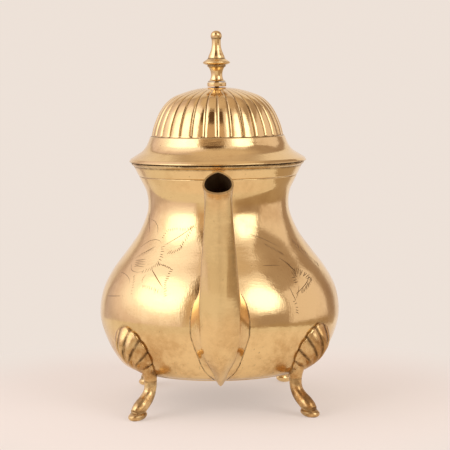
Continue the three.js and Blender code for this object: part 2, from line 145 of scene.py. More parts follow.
def away_from(side, height, across, tall):
    """Distance from the middle of a lamp, 1 at the edge of its glow."""
    offsets = []
    for value, middle, reach in ((round_about, side, across), (up_from_floor, height, tall)):
        share = studio.sums("DIVIDE", studio.sums("SUBTRACT", value, middle), reach)
        offsets.append(studio.sums("POWER", share, 2.0))
    return studio.sums("SQRT", studio.sums("ADD", *offsets))


lamp_power = 2.6


def lamp_glow(from_lamp, fades):
    """The colours of a lamp from its middle to the edge of its glow, brighter than white at its middle."""
    glow = studio.add("ShaderNodeVectorMath", operation="SCALE")
    studio.feed(glow.inputs[0], studio.steps_of_colour(from_lamp, fades))
    glow.inputs["Scale"].default_value = lamp_power
    return glow.outputs[0]


light = studio.blend(studio.step(up_from_floor, 48.0, 72.0), (0.45, 0.34, 0.28), (0.74, 0.60, 0.50))
light = studio.blend(window(-36, 30, -95, 50, 8, 6), light, (0.66, 0.48, 0.35))
light = studio.blend(window(-36, 30, -95, 0, 8, 12), light, (0.80, 0.70, 0.61))
light = studio.blend(window(-30, 13, 40, 64, 4, 4), light, (0.13, 0.075, 0.045))
light = studio.blend(window(26, 150, -95, -7, 4, 3), light, (0.47, 0.35, 0.25))
left_glow = lamp_glow(
    away_from(-60, 30, 92, 52),
    [(0, (1, 1, 1)), (0.28, (0.80, 0.80, 0.84)), (0.5, (0.48, 0.46, 0.51)), (0.78, (0.34, 0.29, 0.315)),
     (1, (0.245, 0.205, 0.215))],
)
light = studio.blend(window(-142, -37, -95, 68, 5, 7), light, left_glow)
right_glow = lamp_glow(
    away_from(46, 30, 26, 25),
    [(0, (1, 1, 1)), (0.55, (0.9, 0.92, 0.96)), (0.85, (0.5, 0.48, 0.5)), (1, (0.37, 0.33, 0.33))],
)
light = studio.blend(window(15, 68, 9, 60, 2, 4), light, right_glow)
light = studio.blend(window(71, 126, -7, 33, 1.5, 2), light, (0.87, 0.75, 0.74))
light = studio.blend(window(126, 143, -9, 38, 4, 4), light, (0.40, 0.29, 0.23))
behind_pot = studio.step(studio.sums("ABSOLUTE", round_about), 143.0, 149.0)
backdrop = studio.sums("MULTIPLY", behind_pot, studio.step(up_from_floor, 60.0, 45.0))
light = studio.blend(backdrop, light, (0.88, 0.78, 0.72))
seen = studio.add("ShaderNodeLightPath").outputs["Is Camera Ray"]
background = world.node_tree.nodes["Background"]
studio.feed(background.inputs["Color"], studio.blend(seen, light, paper))

for name, place, size, power in (
    ("left silk", (-0.9, -0.8, 0.4), 0.8, 4.6), ("right silk", (0.9, -0.8, 0.4), 0.8, 4.6),
    ("overhead silk", (0, 0, 1.3), 1.3, 1.6),
):
    silk = bpy.data.lights.new(name, "AREA")
    silk.size, silk.energy, silk.color = size, power, (1, 0.96, 0.93)
    lamp = bpy.data.objects.new(name.replace(" ", "_"), silk)
    lamp.matrix_world = Matrix.Translation(place) @ Vector(place).to_track_quat("Z", "Y").to_matrix().to_4x4()
    lamp.visible_glossy = False
    scene.collection.objects.link(lamp)

table_middle = (-0.12, -0.08)
table_reach = 0.36
floor_mesh = bmesh.new()
bmesh.ops.create_circle(
    floor_mesh, cap_ends=True, segments=96, radius=table_reach, matrix=Matrix.Translation((*table_middle, 0))
)
floor_data = bpy.data.meshes.new("paper table")
floor_mesh.to_mesh(floor_data)
floor_mesh.free()
floor = bpy.data.objects.new("paper_table", floor_data)
paper_sheet = bpy.data.materials.new("pale paper")
paper_sheet.use_nodes = True
sheet = Nodes(paper_sheet.node_tree)
paper_sheet.node_tree.nodes.remove(paper_sheet.node_tree.nodes["Principled BSDF"])
matte = sheet.add("ShaderNodeBsdfDiffuse")
matte.inputs["Color"].default_value = (0.84, 0.755, 0.70, 1)
glow = sheet.add("ShaderNodeEmission")
glow.inputs["Color"].default_value = (*paper, 1)
from_pot = sheet.add("ShaderNodeVectorMath", operation="LENGTH")
sheet.feed(from_pot.inputs[0], sheet.add("ShaderNodeTexCoord").outputs["Object"])
fade = sheet.add("ShaderNodeMixShader")
sheet.feed(fade.inputs[0], sheet.step(from_pot.outputs["Value"], 0.13, 0.235, 0.5, 1.0))
sheet.feed(fade.inputs[1], matte.outputs[0])
sheet.feed(fade.inputs[2], glow.outputs[0])
sheet.feed(paper_sheet.node_tree.nodes["Material Output"].inputs["Surface"], fade.outputs[0])
floor_data.materials.append(paper_sheet)
scene.collection.objects.link(floor)

# ---------------------------------------------------------------- Body
# Spun from sheet brass: a full belly, a drawn-in neck with an incised line and a flared mouth.
# Strainer holes are drilled through the wall behind the spout.

mm = 0.001
wall = 1.1
base_height = 22.8
seat_radius = 46.3

body_line = [
    (53.5, 23.3), (58.9, 25.3), (63.2, 29.3), (68.4, 38), (72.9, 50), (73.9, 60), (71.4, 72.5),
    (65.3, 84.2), (57.1, 95), (49.3, 106), (44.4, 117), (43.3, 124.5), (44.3, 131.8), (47.4, 138.5),
    (51.7, 147.4),
]


def along_line(points, share):
    """The point of a smooth line through the points, at a share of the way, and its direction."""
    place = share * (len(points) - 1)
    first = min(int(place), len(points) - 2)
    t = place - first
    near = [points[max(0, min(len(points) - 1, first + k))] for k in (-1, 0, 1, 2)]
    spot, run = [], []
    for before, start, end, after in zip(*near):
        leave, arrive = (end - before) / 2, (after - start) / 2
        bend = 2 * start - 2 * end + leave + arrive
        sweep = -3 * start + 3 * end - 2 * leave - arrive
        spot.append(((bend * t + sweep) * t + leave) * t + start)
        run.append((3 * bend * t + 2 * sweep) * t + leave)
    return spot, run


def smooth_run(points, steps):
    return [along_line(points, i / steps)[0] for i in range(steps + 1)]


surface = smooth_run(body_line, 1400)


def off_body(height, lift):
    """The radius and height of a point lifted off the body's surface at a height."""
    after = min(len(surface) - 1, max(1, bisect.bisect_left(surface, height, key=lambda point: point[1])))
    (low_radius, low), (high_radius, high) = surface[after - 1], surface[after]
    share = (height - low) / (high - low)
    across, up = high_radius - low_radius, high - low
    length = math.hypot(across, up)
    return low_radius + across * share + up / length * lift, height - across / length * lift


def on_body(turn, height, lift):
    """A point off the body's surface, a turn in degrees round from the spout."""
    radius, z = off_body(height, lift)
    return Vector((radius * math.sin(math.radians(turn)), -radius * math.cos(math.radians(turn)), z))


def spun(outline, steps, closed=True, marks=None):
    """A bmesh of an outline of (radius, height) turned about the pot's axis, keeping one mark per point."""
    bm = bmesh.new()
    mark = bm.verts.layers.float.new("mark")
    bm.verts.layers.float.new("grime_and_shade")
    points = [bm.verts.new((0, -radius, height)) for radius, height in outline]
    for point, value in zip(points, marks or [0] * len(points)):
        point[mark] = value
    edges = [bm.edges.new(pair) for pair in zip(points, points[1:])]
    if closed:
        edges.append(bm.edges.new((points[-1], points[0])))
    bmesh.ops.spin(
        bm, geom=points + edges, cent=(0, 0, 0), axis=(0, 0, 1), angle=math.tau, steps=steps, use_merge=True
    )
    bmesh.ops.remove_doubles(bm, verts=bm.verts, dist=1e-4)
    return bm


def made(name, bm, metals, body, node=None, modifiers=(), crisp=35, inside_out=False):
    """Turns a bmesh in millimetres into a finished piece that rides on a body."""
    bmesh.ops.recalc_face_normals(bm, faces=bm.faces)
    if inside_out:
        bmesh.ops.reverse_faces(bm, faces=bm.faces)
    bmesh.ops.scale(bm, vec=(mm, mm, mm), verts=bm.verts)
    mesh = bpy.data.meshes.new(name)
    bm.to_mesh(mesh)
    bm.free()
    piece = bpy.data.objects.new(name, mesh)
    scene.collection.objects.link(piece)
    for metal in metals:
        mesh.materials.append(metal)
    for kind, settings in modifiers:
        modifier = piece.modifiers.new(kind.lower(), kind)
        for setting, value in settings.items():
            setattr(modifier, setting, value)
    if modifiers:
        graph = bpy.context.evaluated_depsgraph_get()
        finished = bpy.data.meshes.new_from_object(piece.evaluated_get(graph))
        piece.modifiers.clear()
        piece.data = finished
    piece.data.polygons.foreach_set("use_smooth", [True] * len(piece.data.polygons))
    piece.data.set_sharp_from_angle(angle=math.radians(crisp))
    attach(piece, body)
    if node:
        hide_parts(node)
    return piece


def brass(name, polished, aged, roughness, age_amount, grain=1.0):
    """Polished brass with a patchy bloom of tarnish, pits, fine buffing scratches, and a dark colour from each
    piece's marks, which are old polish in crevices and painted shade where parts overhang or meet.
    """
    material = bpy.data.materials.new(name)
    material.use_nodes = True
    finish = Nodes(material.node_tree)
    shader = material.node_tree.nodes["Principled BSDF"]
    shader.inputs["Metallic"].default_value = 1
    place = finish.add("ShaderNodeTexCoord").outputs["Object"]

    def pattern(scale, detail, rough, stretch=(1, 1, 1), turn=(0, 0, 0)):
        mapping = finish.add("ShaderNodeMapping")
        mapping.inputs["Scale"].default_value = stretch
        mapping.inputs["Rotation"].default_value = turn
        finish.feed(mapping.inputs["Vector"], place)
        texture = finish.add("ShaderNodeTexNoise")
        texture.inputs["Scale"].default_value = scale
        texture.inputs["Detail"].default_value = detail
        texture.inputs["Roughness"].default_value = rough
        finish.feed(texture.inputs["Vector"], mapping.outputs["Vector"])
        return texture.outputs["Fac"]

    height = finish.add("ShaderNodeSeparateXYZ")
    finish.feed(height.inputs["Vector"], place)
    low_down = finish.step(height.outputs["Z"], 0.07, 0.035)
    bloom = finish.step(pattern(26, 6, 0.66), 0.46, 0.70, 0, age_amount)
    low_bloom = finish.step(pattern(60, 6, 0.7), 0.42, 0.64, 0, 0.75)
    bloom = finish.sums("ADD", bloom, finish.sums("MULTIPLY", low_down, low_bloom))
    pit_edge = finish.sums("SUBTRACT", 0.70, finish.sums("MULTIPLY", low_down, 0.06))
    pits = finish.step(pattern(520, 3, 0.62), pit_edge, 0.76, 0, 0.7)
    # The dark colour laid by each piece's marks: old polish in crevices, painted shade under the lid's brim
    # and round the feet, and painted reflection bands on the spout.
    shade_and_grime = finish.add("ShaderNodeAttribute", attribute_name="grime_and_shade").outputs["Fac"]
    shade_and_grime = finish.sums("MULTIPLY", shade_and_grime, finish.step(pattern(330, 4, 0.65), 0.25, 0.62, 0.35, 1.0))
    colour = finish.blend(bloom, polished, aged)
    colour = finish.blend(pits, colour, tuple(c * 0.35 for c in aged))
    colour = finish.blend(shade_and_grime, colour, (0.085, 0.042, 0.014))
    finish.feed(shader.inputs["Base Color"], colour)

    rough = finish.sums("ADD", roughness, finish.step(pattern(75, 4, 0.6), 0.35, 0.7, 0, 0.09))
    rough = finish.sums("ADD", rough, finish.sums("MULTIPLY", bloom, 0.12))
    rough = finish.sums("ADD", rough, finish.sums("MULTIPLY", shade_and_grime, 0.35))
    finish.feed(shader.inputs["Roughness"], rough)

    upright_lines = pattern(900, 2, 0.5, (1, 1, 0.04), (0.4, 0.2, 0))
    level_lines = pattern(700, 2, 0.5, (0.05, 1, 1), (0, 0.5, 0.3))
    scratches = finish.sums(
        "ADD",
        finish.sums("ADD", upright_lines, level_lines),
        finish.sums("MULTIPLY", pattern(150, 4, 0.6), 1.3),
    )
    bump = finish.add("ShaderNodeBump")
    bump.inputs["Strength"].default_value = 0.06 * grain
    bump.inputs["Distance"].default_value = 0.0006
    finish.feed(bump.inputs["Height"], finish.sums("SUBTRACT", scratches, finish.sums("MULTIPLY", pits, 1.5)))
    finish.feed(shader.inputs["Normal"], bump.outputs["Normal"])
    return material


sheet_brass = brass("polished sheet brass", (0.88, 0.635, 0.305), (0.62, 0.38, 0.15), 0.085, 0.6)
cast_brass = brass("polished cast brass", (0.86, 0.62, 0.295), (0.50, 0.28, 0.10), 0.12, 0.9, 1.6)
stained_brass = brass("stained brass", (0.42, 0.28, 0.15), (0.24, 0.15, 0.075), 0.34, 0.9, 2)


def smooth_share(value, start, end):
    t = min(1, max(0, (value - start) / (end - start)))
    return t * t * (3 - 2 * t)


# Each foot's turn round from the spout and the way out to the pot's side, and the leaning oval of the
# shell on its knee.
feet = {
    "front_left": (-43.5, -1), "front_right": (47.5, 1), "rear_left": (-137.5, 1), "rear_right": (144, -1),
}
shell_low, shell_high, shell_half, shell_turn, shell_lean = 26.4, 55.2, 11.9, 5.2, 0.16
shell_middle, shell_tall = (shell_low + shell_high) / 2, (shell_high - shell_low) / 2


def shell_axis(height):
    """How far outward of its leg the middle of the shell is at a height."""
    return math.radians(shell_turn) * off_body(max(24, height), 0)[0] + shell_lean * (height - 52)


# Half the width of the spout's footing on the belly, as (height, half width).
footing = [
    (21, 0), (31, 9.8), (40, 13), (52.6, 17), (60, 17.3), (72.5, 16.4), (80.6, 12.9), (86.5, 5), (87.5, 0),
]


def footing_half(height):
    for (low, narrow), (high, wide) in zip(footing, footing[1:]):
        if low <= height <= high:
            return narrow + (wide - narrow) * (height - low) / (high - low)
    return 0


def body_shade_and_grime(point):
    """Painted shadow under the rim where the lid's brim overhangs, painted shade round each foot's shell and
    low beside each leg, and old polish in the incised line.
    """
    turn = math.degrees(math.atan2(point.x, -point.y))
    shade_and_grime = 0.9 * smooth_share(point.z, 146.3, 147.4) + 0.5 * math.exp(-((point.z - 141.2) / 0.3) ** 2)
    # Painted shade round the edge of each shell, where it stands off the belly, and low on the belly beside
    # each leg.
    for foot_turn, outward in feet.values():
        apart = (turn - foot_turn + 180) % 360 - 180
        if point.z < 62 and abs(apart) < 30:
            run = math.radians(apart * outward) * math.hypot(point.x, point.y)
            across = (run - shell_axis(point.z)) / shell_half
            away = math.hypot(across, (point.z - shell_middle) / shell_tall)
            shade_and_grime = max(shade_and_grime, 0.5 * (1 - smooth_share(away, 1.0, 1.11)))
        if point.z < 29:
            near_foot = 1 - smooth_share(abs(apart), 4, 15)
            shade_and_grime = max(shade_and_grime, 0.5 * near_foot * (1 - smooth_share(point.z, 25, 30)))
    return min(1, shade_and_grime)


body_rows = 128
line_height = 141.2
outside = sorted(
    smooth_run(body_line, body_rows) + [list(off_body(line_height + k * 0.16, 0)) for k in range(-6, 7)],
    key=lambda point: point[1],
)
outside = [
    (radius - 0.32 * math.exp(-(((height - line_height) / 0.3) ** 2)), height) for radius, height in outside
]
body_outline = [(seat_radius, base_height), (52.9, base_height)] + outside
body_mesh = spun(body_outline, 240, closed=False)
grime_and_shade = body_mesh.verts.layers.float["grime_and_shade"]
for vert in body_mesh.verts:
    ripple = noise.noise(vert.co * 0.035) + 0.35 * noise.noise(vert.co * 0.09)
    away = Vector((vert.co.x, vert.co.y, 0)).normalized()
    vert[grime_and_shade] = body_shade_and_grime(vert.co)
    vert.co += away * (0.1 * ripple - 0.1)

drill_mesh = bmesh.new()
for row in range(4):
    for x in ((-7, 0, 7), (-3.5, 3.5))[row % 2]:
        turn = Matrix.Translation((x, -70, 48 + 7 * row)) @ Matrix.Rotation(math.pi / 2, 4, "X")
        bmesh.ops.create_cone(
            drill_mesh, cap_ends=True, segments=20, radius1=2, radius2=2, depth=30, matrix=turn
        )
bmesh.ops.scale(drill_mesh, vec=(mm, mm, mm), verts=drill_mesh.verts)
drill_data = bpy.data.meshes.new("strainer drills")
drill_mesh.to_mesh(drill_data)
drill_mesh.free()
drills = bpy.data.objects.new("strainer drills", drill_data)
scene.collection.objects.link(drills)

made(
    "pot_body", body_mesh, [sheet_brass, stained_brass], "pot", "body_shell",
    modifiers=[
        ("SOLIDIFY", {"thickness": wall * mm, "offset": -1, "material_offset": 1}),
        ("BOOLEAN", {"object": drills, "operation": "DIFFERENCE", "solver": "EXACT"}),
    ],
    inside_out=True,
)
bpy.data.objects.remove(drills)

# ---------------------------------------------------------------- Engraving
# Sprays of leaves and a flower cut into both shoulders with a fine graver: long veins, and rows of
# short ticks along the edges of the leaves.

engraver = random.Random(7)


def stroke(bm, points, width):
    """One cut along points of (turn, height), tapered at both ends and lying flush in the surface."""
    steps, sides = max(4, 4 * (len(points) - 1)), 5
    sleeve = bmesh.ops.create_grid(bm, x_segments=sides, y_segments=steps, size=1)["verts"]
    for vert in sleeve:
        share = (vert.co.y + 1) / 2
        (turn, height), (turn_run, rise) = along_line(points, share)
        radius = off_body(height, 0)[0]
        across, up = math.radians(turn_run) * radius, rise
        length = math.hypot(across, up) or 1
        size = width / 2 * (0.12 + 0.88 * math.sin(math.pi * min(1, share * 0.9 + 0.1)))
        spin = math.pi * vert.co.x
        side = size * math.sin(spin)
        vert.co = on_body(
            turn + math.degrees(side * up / length / radius), height - side * across / length,
            -0.07 + 0.35 * size * math.cos(spin),
        )
    bmesh.ops.remove_doubles(bm, verts=sleeve, dist=1e-4)


def ticks(bm, edge, lean, reach, width=0.38, apart=1.5):
    """Short strokes set side by side along an edge, leaning by a number of degrees from it."""
    places = [on_body(turn, height, 0) for turn, height in smooth_run(edge, 20)]
    count = max(3, round(sum((b - a).length for a, b in zip(places, places[1:])) / apart))
    for i in range(count):
        share = (i + 0.5 + engraver.uniform(-0.18, 0.18)) / count
        (turn, height), (turn_run, rise) = along_line(edge, share)
        radius = off_body(height, 0)[0]
        slope = math.atan2(rise, math.radians(turn_run) * radius)
        heading = slope + math.radians(lean + engraver.uniform(-8, 8))
        length = reach * engraver.uniform(0.75, 1.2)
        end = (turn + math.degrees(length * math.cos(heading) / radius), height + length * math.sin(heading))
        stroke(bm, [(turn, height), end], width)


def left_spray(bm, turn):
    """The leaf, flower and bud of the left shoulder, moved round by a turn."""
    def moved(*points):
        return [(a + turn, z) for a, z in points]

    stroke(bm, moved((-38.4, 102.5), (-29.1, 107.6), (-19.4, 113.3)), 0.45)
    ticks(bm, moved((-44, 106.4), (-40.8, 111.1), (-33.3, 112.6), (-24.3, 112.6), (-19.4, 114.4)), -75, 1.7)
    leaf_edge = moved((-19.2, 112.4), (-21, 108.2), (-23.6, 104.1), (-25.1, 100.5), (-29.6, 98.2), (-34, 97.6))
    ticks(bm, leaf_edge, -120, 2.4)
    for bend in (0, 1, 2, 3):
        barb = moved((-60 + 3 * bend, 93.5 + bend), (-54 + 2 * bend, 97.5 + bend), (-46, 99.5 + 0.6 * bend))
        stroke(bm, barb, 0.22)
    stroke(bm, moved((-62, 100), (-56, 103.6), (-49, 105), (-43.5, 104.2), (-41, 101.6)), 0.28)
    ticks(bm, moved((-41.2, 101.4), (-39, 97.4), (-38.6, 93.2), (-41, 90.4), (-46, 88.2)), 70, 2.8)
    for bend in range(4):
        vein = moved((-58 + bend, 92.6 - bend * 1.1), (-53, 93.2 - bend * 1.1), (-49 + bend, 94 - bend * 1.4))
        stroke(bm, vein, 0.42)
    stroke(bm, moved((-60, 90.4), (-56, 87.4), (-50, 86.6), (-44.4, 87.8)), 0.25)
    stroke(bm, moved((-40, 89.1), (-34.5, 84.8), (-28.6, 79.4)), 0.6)
    ticks(bm, moved((-38, 92.5), (-33, 92), (-29, 91)), -20, 3.0)
    ticks(bm, moved((-27.8, 90.3), (-29, 85), (-28.6, 80), (-27.2, 74.5)), 100, 2.2)
    ticks(bm, moved((-42, 80.4), (-37, 80.2), (-31, 78.6)), -72, 2.4)
    stroke(bm, moved((-42.4, 86), (-43.4, 83), (-42, 80.6)), 0.3)
    stroke(bm, moved((-70, 70.4), (-60, 71.8), (-48.8, 73.5)), 0.4)
    ticks(bm, moved((-51.5, 84), (-49.4, 80), (-48, 74)), 105, 2.1)
    stroke(bm, moved((-66, 85), (-59, 84.4), (-53.4, 82.2), (-51, 79)), 0.24)
    stroke(bm, moved((-76, 119), (-68, 114), (-60, 108.4)), 0.34)
    stroke(bm, moved((-66, 116), (-58, 115), (-52, 112), (-50.4, 108.6)), 0.26)


def right_spray(bm, turn):
    """The stem, fan and leaf of the right shoulder, moved round by a turn."""
    def moved(*points):
        return [(a + turn, z) for a, z in points]

    stroke(bm, moved((22.5, 108.8), (32, 105.6), (44.4, 99.6)), 0.42)
    ticks(bm, moved((31, 103.6), (37, 100.6), (42, 97.4)), -30, 3.3)
    stroke(bm, moved((25.2, 91.2), (31, 91), (36.5, 90.6)), 0.4)
    ticks(bm, moved((37.5, 95), (41, 92.4), (43, 90)), -10, 4.8)
    ticks(bm, moved((41.5, 86.5), (45, 88.2), (49, 87.6), (52.6, 85), (54.6, 82)), -112, 5.1)
    ticks(bm, moved((40.6, 84), (40.6, 80)), 90, 2.7)
    stroke(bm, moved((38.3, 70.6), (37.4, 74), (36.6, 78.4)), 0.5)
    stroke(bm, moved((38.8, 72), (41, 75), (43, 78.6)), 0.32)
    stroke(bm, moved((39.4, 74.4), (45, 77.2), (51, 80.6), (55, 84)), 0.4)
    ticks(bm, moved((43, 74), (49, 76.6), (55, 80.4)), 55, 2.7)
    ticks(bm, moved((36.4, 70.6), (37.6, 67), (37.2, 63.6)), 80, 2.0)
    stroke(bm, moved((58, 100), (64, 92), (69, 84)), 0.3)
    ticks(bm, moved((60, 104), (67, 96), (73, 88)), -70, 3.0)


engraving_mesh = bmesh.new()
for turn in (0, -88):
    left_spray(engraving_mesh, turn)
for turn in (0, 76):
    right_spray(engraving_mesh, turn)
graver_cut = brass("graver cut", (0.19, 0.105, 0.045), (0.12, 0.065, 0.025), 0.3, 0.8)
made("engraving", engraving_mesh, [graver_cut], "pot", crisp=180)

# ---------------------------------------------------------------- Rim ring
# A drawn wire ring with a softly rounded edge, soldered round the mouth for the lid to rest on.

rim_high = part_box("rim_ring")[1] / mm
rim_outer = rim_high.x
rim_outline = [(50.6, 147.5), (51.75, 147.45), (52.3, 147.9), (52.75, 148.35)]
for i in range(7):
    turn = math.radians(-20 + 20 * i)
    rim_outline.append((rim_outer - 0.45 + 0.45 * math.cos(turn), rim_high.z - 0.45 + 0.45 * math.sin(turn)))
rim_outline += [(50.6, rim_high.z)]
rim_mesh = spun(rim_outline, 192)
grime_and_shade = rim_mesh.verts.layers.float["grime_and_shade"]
# The ring is darkened all over, and in patches towards its top, as painted shadow under the lid's brim.
for vert in rim_mesh.verts:
    patch = noise.noise(vert.co * 0.09) + 0.5 * noise.noise(vert.co * 0.3)
    vert[grime_and_shade] = 0.3 + 0.5 * smooth_share(vert.co.z, 147.9, 149) * smooth_share(patch, -0.3, 0.25)
made("mouth_ring", rim_mesh, [sheet_brass], "pot", "rim_ring")

# ---------------------------------------------------------------- Base plate
# A disc let into the bottom and soldered all round, with one shallow turned step.

base_outline = [(0, base_height + 0.5), (38, base_height + 0.5), (39, base_height), (46, base_height),
                (46, base_height + 1.2), (0, base_height + 1.2)]
bottom_mesh = spun(base_outline, 128, closed=False)
made("bottom_plate", bottom_mesh, [stained_brass], "pot", "base_plate")

# ---------------------------------------------------------------- Spout
# Folded from sheet and soldered: a broad front with a crease down each side, a keel behind, a skirt
# that spreads over the belly, a sharp prow at the bottom and a pointed lip cut on the slant.

spout_reach = -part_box("spout")[0].y / mm

# Each station is the front and the back as distance and height, the half width in front, the half
# width at the back of the skirt, how far it has closed to a keeled tube, how round it is, and how
# sharp its prow is.
spout_stations = [
    (62.5, 21.6, 53.5, 24.3, 1.5, 4, 0, 0, 1),
    (70.5, 29.3, 52, 34, 4.6, 13, 0, 0, 1),
    (77.3, 38, 54, 43, 8.8, 17, 0, 0, 0.8),
    (82.5, 48.5, 56, 52, 11.2, 21.5, 0, 0, 0.3),
    (87.5, 63, 58, 62, 11.5, 21.5, 0, 0, 0.08),
    (89.4, 76, 60.5, 73, 11.5, 16.5, 0.15, 0, 0),
    (89.8, 88, 67.5, 84.5, 10.8, 11, 0.75, 0, 0),
    (90.2, 100, 72.8, 98, 9.9, 9, 1, 0, 0),
    (91.8, 112, 76.4, 111.5, 8.8, 8, 1, 0, 0),
    (95.3, 124.5, 80.6, 127.5, 8, 8, 1, 0.2, 0),
    (99.8, 132, 85.5, 139.5, 7.8, 8, 1, 0.7, 0),
    (spout_reach, 137.2, 93.6, 149.2, 8.7, 8, 1, 1, 0),
]
keel_half = [
    (0, 0), (0.3, 0.012), (0.6, 0.048), (0.86, 0.10), (1, 0.17), (1, 0.28), (0.99, 0.39), (0.94, 0.5),
    (0.86, 0.62), (0.73, 0.73), (0.56, 0.83), (0.25, 0.95), (0, 1),
]
prow_half = [
    (0, 0), (0.3, 0.07), (0.6, 0.15), (0.86, 0.22), (1, 0.27), (1.02, 0.35), (0.99, 0.43), (0.94, 0.52),
    (0.86, 0.62), (0.73, 0.73), (0.56, 0.83), (0.25, 0.95), (0, 1),
]
round_half = [
    (0, 0), (0.27, 0.015), (0.52, 0.055), (0.76, 0.13), (0.93, 0.25), (1, 0.37), (0.99, 0.48), (0.93, 0.6),
    (0.83, 0.7), (0.68, 0.79), (0.5, 0.875), (0.24, 0.96), (0, 1),
]


def skirt_seam(front, back):
    """How deep, and how far to the side, the skirt of a section meets the body."""
    low, high = 0.0, 1.0
    for _ in range(16):
        deep = (low + high) / 2
        y, z = (start + (end - start) * deep for start, end in zip(front, back))
        wide = footing_half(z)
        if z > base_height and math.hypot(wide, y) < off_body(z, 0.1)[0]:
            high = deep
        else:
            low = deep
    return low, wide


skirt_seams = {}


def spout_point(side, share, height_share):
    """A point of the spout: share runs from the middle of the front to the back or the seam."""
    station = along_line(spout_stations, height_share)[0]
    front_y, front_z, back_y, back_z, half, spread, keel, lip, prow = station
    keel, lip, prow = (min(1, max(0, value)) for value in (keel, lip, prow))
    (keel_wide, keel_deep), (lip_wide, lip_deep), (prow_wide, prow_deep) = (
        along_line(section, share)[0] for section in (keel_half, round_half, prow_half)
    )
    keel_wide += (prow_wide - keel_wide) * prow
    keel_deep += (prow_deep - keel_deep) * prow
    deep = keel_deep + (lip_deep - keel_deep) * lip
    tube = (keel_wide + (lip_wide - keel_wide) * lip) * half
    crease = 0.17 + 0.1 * prow
    if height_share not in skirt_seams:
        skirt_seams[height_share] = skirt_seam((front_y, front_z), (back_y, back_z))
    seam_deep, seam_wide = skirt_seams[height_share]
    closing = smooth_share(height_share, 4 / 11, 5.6 / 11)
    skirt = tube
    if keel_deep > crease:
        open_skirt = half + (seam_wide - half) * min(1.3, (keel_deep - crease) / max(0.1, seam_deep - crease))
        closed_skirt = half + (spread - half) * min(1, keel_deep - crease + 0.04)
        skirt = open_skirt + (closed_skirt - open_skirt) * closing
    wide = skirt + (tube - skirt) * keel
    return Vector((side * wide, -(front_y + (back_y - front_y) * deep), front_z + (back_z - front_z) * deep))


crease_share = 1 / 3


def round_the_side(across, seam):
    """The share of a section at a column: half the columns cover the front, half the side to the seam."""
    if across < 0.5:
        return across * 2 * crease_share
    return crease_share + (across - 0.5) * 2 * (seam - crease_share)


def inside_body(point, margin):
    return point.z > base_height and math.hypot(point.x, point.y) < off_body(point.z, margin)[0]


def seam_share(side, height_share):
    """How far round a section runs before it meets the body; 1 where the tube closes clear of it."""
    low, high = crease_share, 1.0
    if not inside_body(spout_point(side, 1.0, height_share), 0.1):
        return 1.0
    for _ in range(20):
        middle = (low + high) / 2
        if inside_body(spout_point(side, middle, height_share), 0.1):
            high = middle
        else:
            low = middle
    return low


spout_rows, spout_columns = 180, 52
# Painted dark reflection bands down the spout's front, as place across, strength and width.
painted_reflection_streaks = ((-0.48, 0.24, 0.08), (0.02, 0.13, 0.07), (0.36, 0.26, 0.1), (0.5, 0.1, 0.04))
spout_mesh = bmesh.new()
grime_and_shade = spout_mesh.verts.layers.float.new("grime_and_shade")
bmesh.ops.create_grid(spout_mesh, x_segments=spout_columns, y_segments=spout_rows, size=1)
seam_line = {-1: {}, 1: {}}
row_seams = {}
for vert in spout_mesh.verts:
    across, up = vert.co.x, (vert.co.y + 1) / 2
    side = 1 if across >= 0 else -1
    row = round(up * spout_rows)
    if (side, row) not in row_seams:
        row_seams[side, row] = seam_share(side, up)
    vert.co = spout_point(side, round_the_side(abs(across), row_seams[side, row]), up)
    near_seam = smooth_share(abs(across), 0.93, 1) if row_seams[side, row] < 1 else 0
    near_crease = 0.4 * math.exp(-(((abs(across) - 0.5) / 0.04) ** 2)) * (1 - smooth_share(up, 0.12, 0.24))
    # Dark vertical bands down the front are painted reflection; the upper spout is also dulled a little.
    reflection_streak = sum(
        depth * math.exp(-(((across - spot) / wide) ** 2))
        for spot, depth, wide in painted_reflection_streaks
    )
    reflection_streak *= 0.75 + 0.5 * noise.noise(Vector((across * 4, 0, vert.co.z * 0.04)))
    dulling_and_reflection_streaks = 0.09 * smooth_share(vert.co.z, 60, 100) + reflection_streak * smooth_share(vert.co.z, 30, 85)
    vert[grime_and_shade] = max(0.8 * near_seam, near_crease, 0.5 * smooth_share(up, 0.985, 1), dulling_and_reflection_streaks)
    if abs(across) > 0.999 and row_seams[side, row] < 1:
        seam_line[side][row] = vert.co.copy()
bmesh.ops.remove_doubles(spout_mesh, verts=spout_mesh.verts, dist=0.02)
made(
    "pouring_spout", spout_mesh, [sheet_brass, stained_brass], "pot", "spout",
    modifiers=[
        ("SOLIDIFY", {"thickness": wall * mm, "offset": -1, "material_offset": 1, "material_offset_rim": 0}),
    ],
    crisp=40,
)

# ---------------------------------------------------------------- Solder seam
# A thin uneven fillet of solder where the spout's skirt meets the belly.


def wrapped_grid(bm, columns, rows, place):
    """A grid closed round into a sleeve, each point placed by its turn and its share along."""
    sleeve = bmesh.ops.create_grid(bm, x_segments=columns, y_segments=rows, size=1)["verts"]
    for vert in sleeve:
        vert.co = place(math.pi * vert.co.x, (vert.co.y + 1) / 2)
    bmesh.ops.remove_doubles(bm, verts=sleeve, dist=1e-3)


seam_mesh = bmesh.new()
seam_grime = seam_mesh.verts.layers.float.new("grime_and_shade")
seam_path = [seam_line[-1][row] for row in sorted(seam_line[-1], reverse=True)]
seam_path += [seam_line[1][row] for row in sorted(seam_line[1])]


def seam_point(turn, share):
    place = share * (len(seam_path) - 1)
    first = min(int(place), len(seam_path) - 2)
    spot = seam_path[first].lerp(seam_path[first + 1], place - first)
    run = (seam_path[first + 1] - seam_path[first]).normalized()
    outward = Vector((spot.x, spot.y, 0)).normalized()
    beside = run.cross(outward).normalized()
    size = 0.3 + 0.1 * noise.noise(spot * 0.9) + 0.1 * noise.noise(spot * 2.3)
    return spot + beside * size * 1.25 * math.sin(turn) + outward * (size * 0.8 * math.cos(turn) - 0.1)


